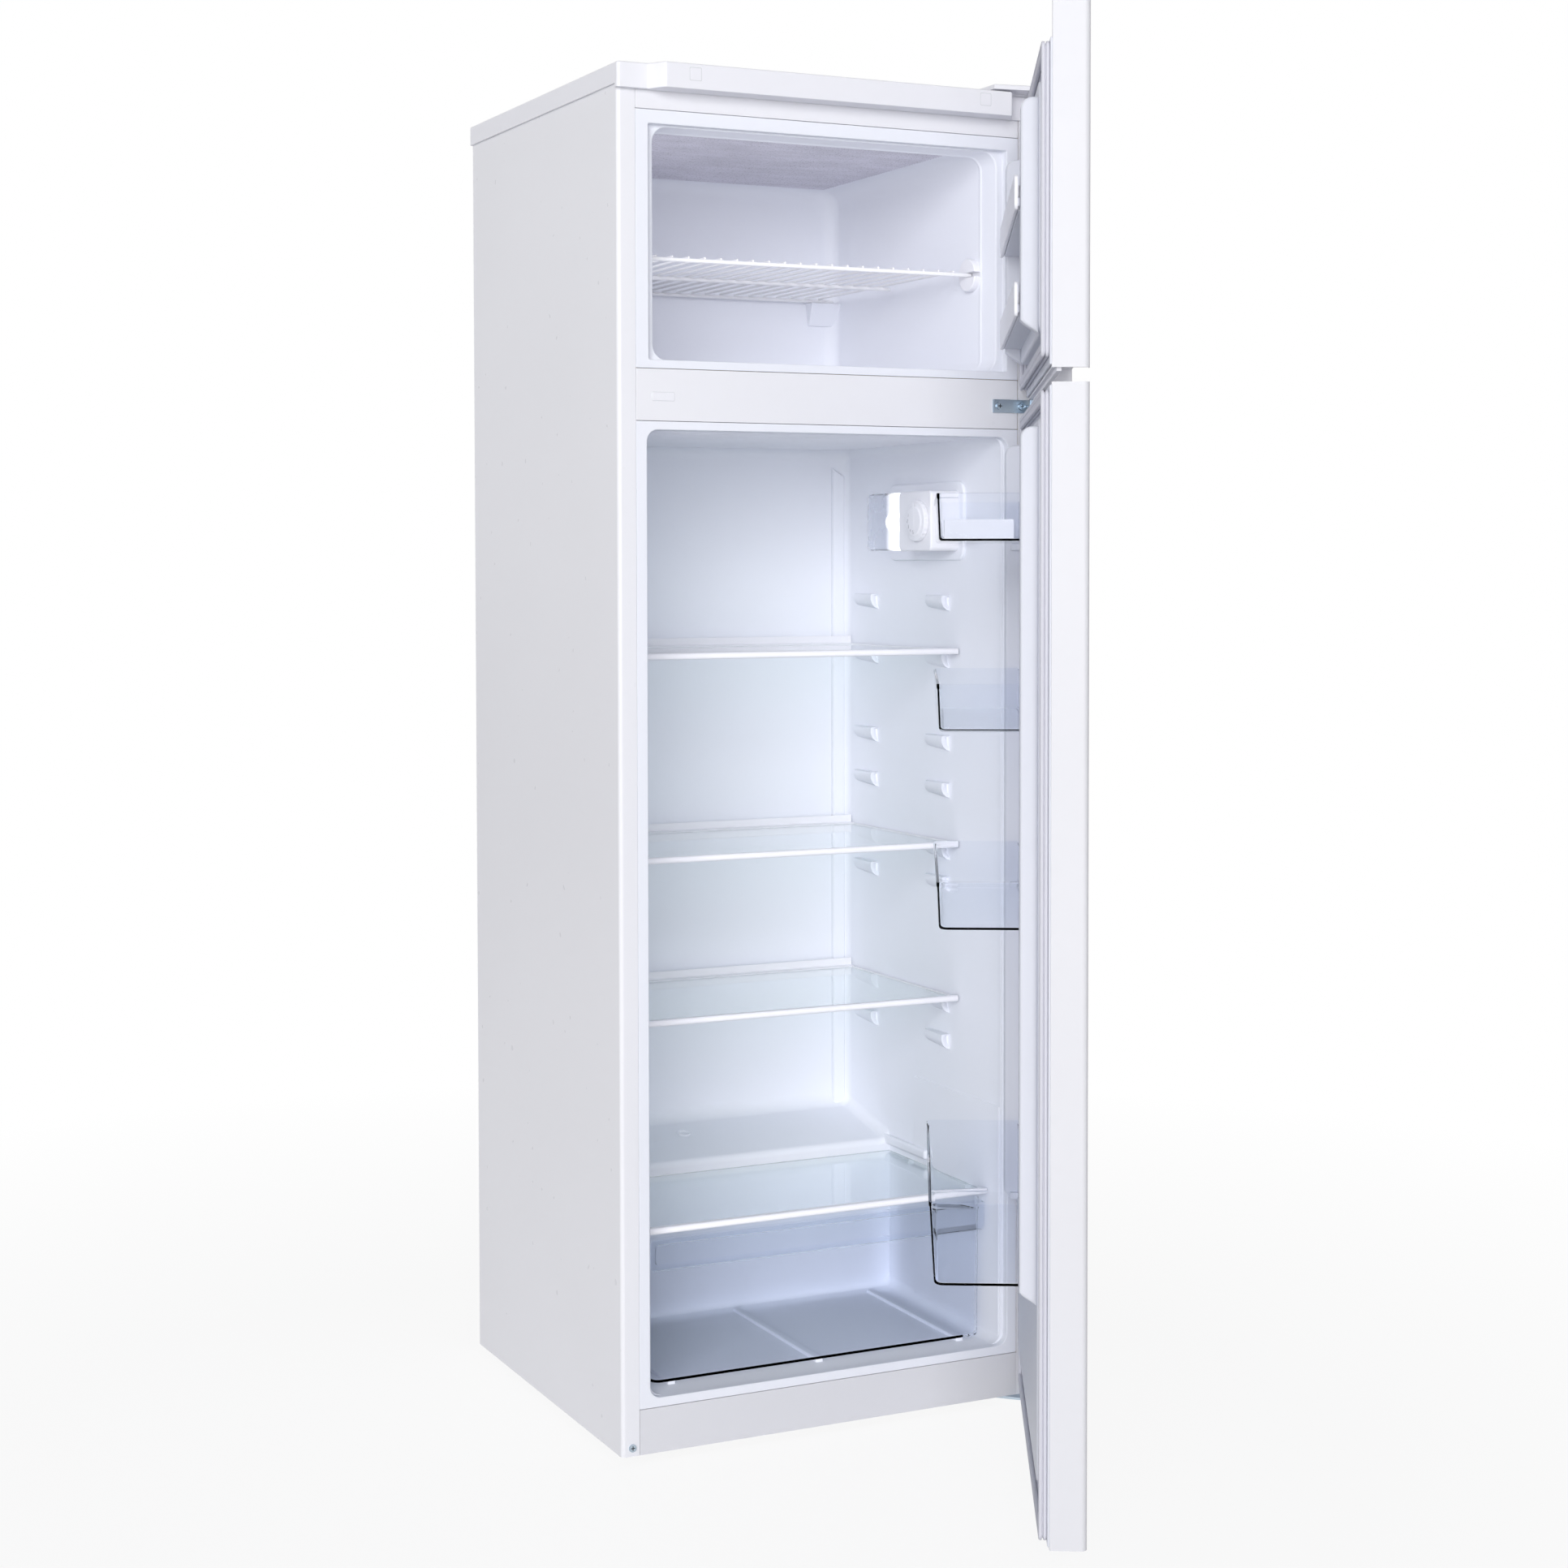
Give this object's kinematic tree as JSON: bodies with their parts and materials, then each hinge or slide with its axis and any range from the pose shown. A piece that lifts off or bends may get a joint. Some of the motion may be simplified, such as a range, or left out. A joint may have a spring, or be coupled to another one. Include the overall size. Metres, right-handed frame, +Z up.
{
  "type": "top freezer refrigerator",
  "caption": "Free-standing white refrigerator with a freezer compartment on top, doors hinged on the right, sliding shelves, a crisper and door balconies.",
  "frame": {"origin": "centre of the underside of the left front foot, on the floor", "axes": "+X to the right seen from the front, +Y to the back, +Z up"},
  "size_m": [0.5722, 1.0159, 1.6145],
  "materials": {
    "white_steel": "smooth white enamel",
    "white_plastic": "smooth moulded white",
    "liner_plastic": "smooth formed white, faint lilac",
    "foam": "rigid insulating foam",
    "galvanised": "galvanised sheet",
    "zinc": "blue zinc plate",
    "dark_paint": "satin black",
    "black_plastic": "satin black",
    "rubber": "matt",
    "gasket": "soft pale grey",
    "copper": "drawn copper tube",
    "evaporator": "rolled sheet",
    "glass": "clear, green at the edges",
    "clear_plastic": "clear moulded plastic, faint blue",
    "lamp_diffuser": "frosted",
    "bulb": "pearl",
    "ceramic": "glazed",
    "tray_plastic": "moulded",
    "white_wire": "plastic-coated wire"
  },
  "bodies": {
    "cabinet": {"outer_shell": "white_steel", "back_panel": "galvanised", "base_pan": "galvanised", "compressor_rail": "galvanised", "cabinet_foam": "foam", "freezer_liner": "liner_plastic", "fridge_liner": "liner_plastic", "cross_rails": "white_steel", "plinth": "white_steel", "worktop": "white_plastic", "blanking_plugs": "white_plastic", "top_hinge": "zinc", "hinge_cover": "white_plastic", "middle_hinge": "zinc", "bottom_hinge": "zinc", "cabinet_screws": "zinc", "compressor": "dark_paint", "compressor_mounts": "rubber", "terminal_box": "black_plastic", "condenser": "dark_paint", "condenser_brackets": "galvanised", "refrigerant_pipes": "copper", "filter_drier": "copper", "evaporating_tray": "tray_plastic", "drain_tube": "tray_plastic", "evaporators": "evaporator", "thermostat_housing": "white_plastic", "thermostat": "black_plastic", "lamp_holder": "ceramic", "lamp_bulb": "bulb", "lamp_cover": "lamp_diffuser", "crisper_cover": "glass", "crisper_cover_trim": "white_plastic"},
    "freezer_door": {"freezer_door_skin": "white_steel", "freezer_door_caps": "white_plastic", "freezer_door_foam": "foam", "freezer_door_liner": "liner_plastic", "freezer_door_gasket": "gasket", "freezer_door_rails": "white_plastic"},
    "fridge_door": {"fridge_door_skin": "white_steel", "fridge_door_caps": "white_plastic", "fridge_door_foam": "foam", "fridge_door_liner": "liner_plastic", "fridge_door_gasket": "gasket", "door_balconies": "clear_plastic", "bottle_shelf": "clear_plastic", "egg_tray": "white_plastic"},
    "top_shelf": {"shelf_glass_1": "glass", "shelf_trim_1": "white_plastic"},
    "middle_shelf": {"shelf_glass_2": "glass", "shelf_trim_2": "white_plastic"},
    "lower_shelf": {"shelf_glass_3": "glass", "shelf_trim_3": "white_plastic"},
    "crisper": {"crisper_drawer": "clear_plastic"},
    "wire_shelf": {"freezer_wire_shelf": "white_wire"},
    "knob": {"thermostat_knob": "white_plastic"},
    "light_switch": {"light_switch_button": "white_plastic"},
    "left_foot": {"front_foot_left": "black_plastic"},
    "right_foot": {"front_foot_right": "black_plastic"},
    "rollers": {"rear_rollers": "white_plastic"}
  },
  "joints": [
    {"name": "freezer_door_hinge", "type": "hinge", "parent": "cabinet", "child": "freezer_door", "pos_m": [0.469, -0.06, 1.2373], "axis": [0, 0, 1], "range_deg": [-61.3, 53.7]},
    {"name": "fridge_door_hinge", "type": "hinge", "parent": "cabinet", "child": "fridge_door", "pos_m": [0.469, -0.06, 0.022], "axis": [0, 0, 1], "range_deg": [-61.3, 53.7]},
    {"name": "top_shelf_slide", "type": "slide", "parent": "cabinet", "child": "top_shelf", "axis": [0, -1, 0], "range_m": [0, 0.08]},
    {"name": "middle_shelf_slide", "type": "slide", "parent": "cabinet", "child": "middle_shelf", "axis": [0, -1, 0], "range_m": [0, 0.08]},
    {"name": "lower_shelf_slide", "type": "slide", "parent": "cabinet", "child": "lower_shelf", "axis": [0, -1, 0], "range_m": [0, 0.08]},
    {"name": "crisper_slide", "type": "slide", "parent": "cabinet", "child": "crisper", "axis": [0, -1, 0], "range_m": [0, 0.05]},
    {"name": "wire_shelf_slide", "type": "slide", "parent": "cabinet", "child": "wire_shelf", "axis": [0, -1, 0], "range_m": [0, 0.05]},
    {"name": "thermostat_dial", "type": "hinge", "parent": "cabinet", "child": "knob", "pos_m": [0.394, 0.098, 1.092], "axis": [-1, 0, 0], "range_deg": [-120, 160]},
    {"name": "light_switch_press", "type": "slide", "parent": "cabinet", "child": "light_switch", "axis": [0, 1, 0], "range_m": [0, 0.004], "stiffness_N_per_m": 150, "springref_m": -0.002},
    {"name": "left_foot_screw", "type": "hinge", "parent": "cabinet", "child": "left_foot", "pos_m": [0, 0, 0], "axis": [0, 0, 1], "continuous": true},
    {"name": "right_foot_screw", "type": "hinge", "parent": "cabinet", "child": "right_foot", "pos_m": [0.406, 0, 0], "axis": [0, 0, 1], "continuous": true},
    {"name": "roller_spin", "type": "hinge", "parent": "cabinet", "child": "rollers", "pos_m": [0.203, 0.413, 0.012], "axis": [1, 0, 0], "continuous": true}
  ]
}
